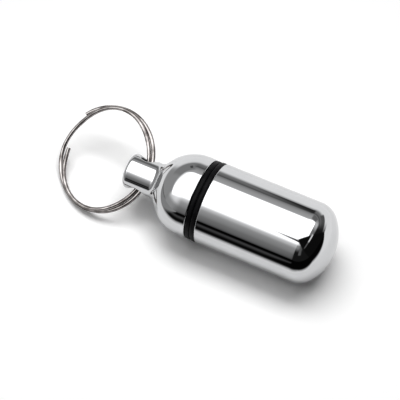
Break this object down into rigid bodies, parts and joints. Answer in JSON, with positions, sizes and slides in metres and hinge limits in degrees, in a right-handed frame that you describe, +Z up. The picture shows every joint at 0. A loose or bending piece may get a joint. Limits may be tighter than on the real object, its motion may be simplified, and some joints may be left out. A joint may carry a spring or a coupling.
{
  "type": "pill fob keychain",
  "caption": "Screw-top pill capsule lying on its side, with rubber seals at its cap and a split key ring through a post on the cap's crown.",
  "frame": {"origin": "on the table, under the middle of the whole object as it lies, key ring included", "axes": "+X along the capsule's axis from the key ring to the tube's closed end; +Z up from the table that it lies on"},
  "size_m": [0.0658, 0.0214, 0.018],
  "materials": {
    "capsule_chrome": "polished",
    "thread_metal": "machined",
    "seal_rubber": "satin",
    "ring_steel": "bright wire"
  },
  "bodies": {
    "tube": {"body_shell": "capsule_chrome", "neck_insert": "thread_metal", "rear_seal_ring": "seal_rubber"},
    "turning_seal": {"front_seal_ring": "seal_rubber"},
    "cap": {"cap_shell": "capsule_chrome", "cap_insert": "thread_metal", "ring_post": "capsule_chrome"},
    "key_ring": {"split_ring": "ring_steel"}
  },
  "joints": [
    {"name": "cap_turn", "type": "hinge", "parent": "tube", "child": "turning_seal", "pos_m": [0.00459, -0.00136, 0.009], "axis": [-1, 0, 0], "range_deg": [0, 828]},
    {"name": "cap_rise", "type": "slide", "parent": "turning_seal", "child": "cap", "axis": [-1, 0, 0], "range_m": [0, 0.00288]},
    {"name": "ring_swing", "type": "hinge", "parent": "cap", "child": "key_ring", "pos_m": [-0.01187, -0.00136, 0.009], "axis": [0, -0.829, -0.5592], "range_deg": [-165, 134]}
  ],
  "couplings": [
    {"joint": "cap_rise", "follows": "cap_turn", "m_per_rad": 0.00019894}
  ]
}
